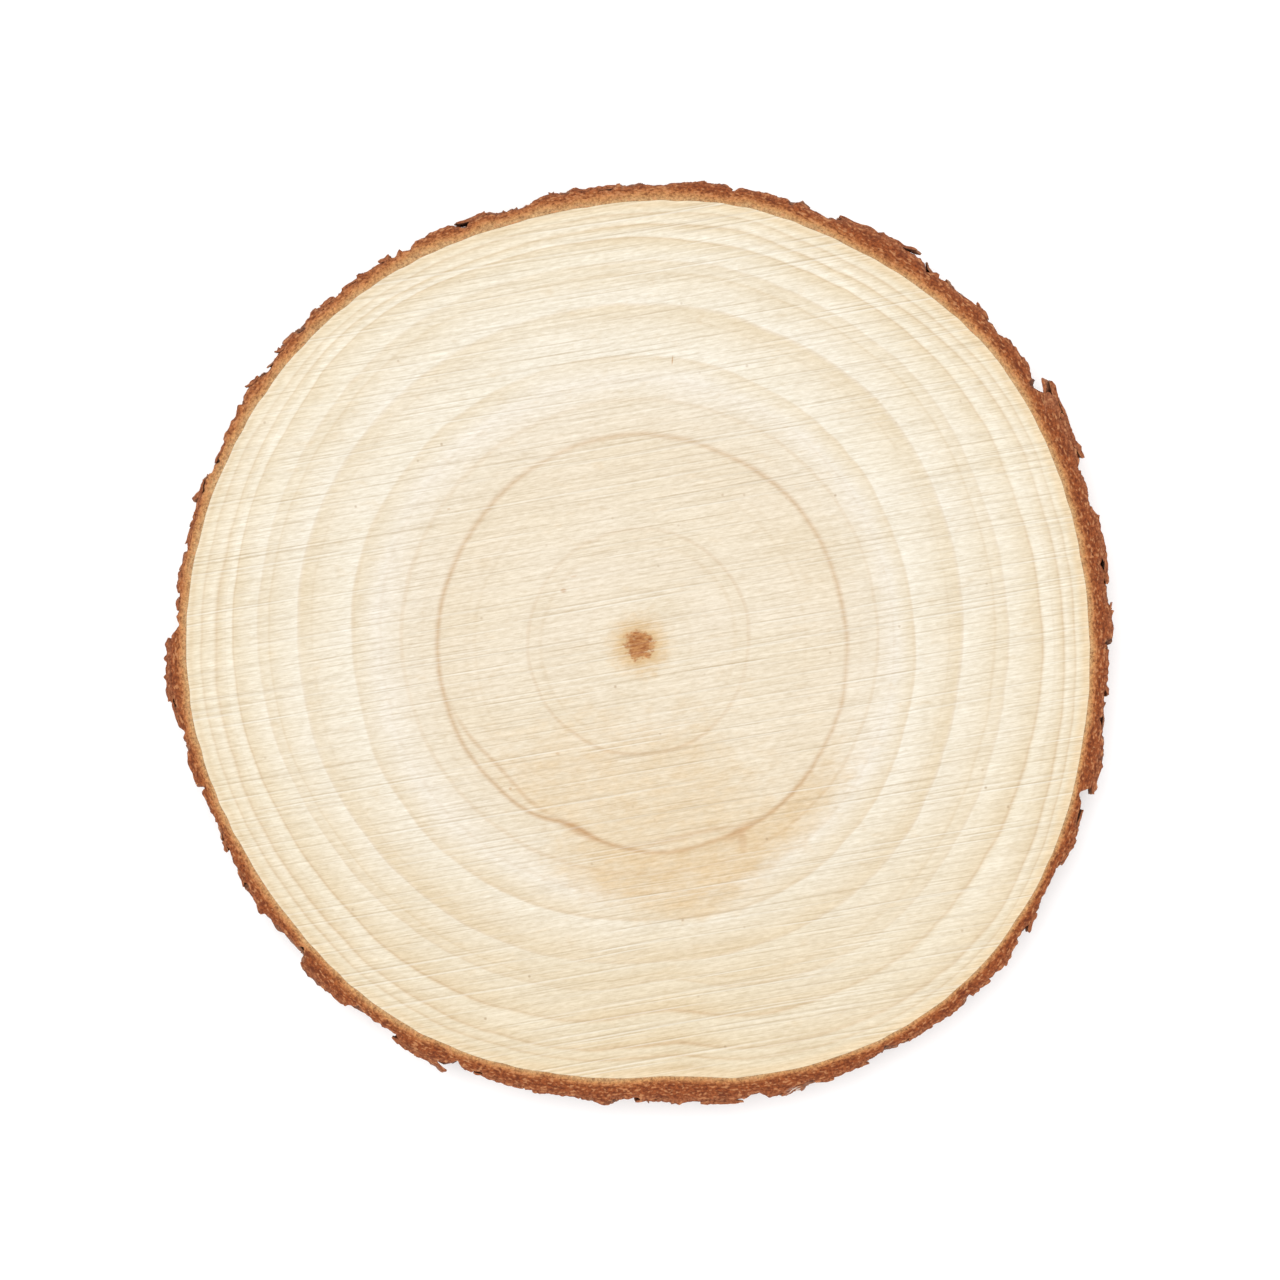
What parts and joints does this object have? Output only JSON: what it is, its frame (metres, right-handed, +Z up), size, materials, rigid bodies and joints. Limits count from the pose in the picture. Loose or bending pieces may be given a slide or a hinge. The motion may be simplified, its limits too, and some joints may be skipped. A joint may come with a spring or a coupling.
{
  "type": "wood slice",
  "caption": "Flat round slice cut across a young conifer log, with growth rings on its sawn faces and rough bark round its edge.",
  "frame": {"origin": "middle of the slice's outline, on the lower sawn face", "axes": "+Z up through the thickness, along the trunk; +X across the widest direction of the slice, bark included"},
  "size_m": [0.1, 0.0974, 0.01],
  "materials": {
    "wood": "raw sawn conifer end grain, matte, pale cream with tan growth rings",
    "bark": "rough flaking bark, matte, red-brown outside with an ochre inner layer"
  },
  "bodies": {
    "root": {"wood_slice": "wood"}
  },
  "joints": []
}
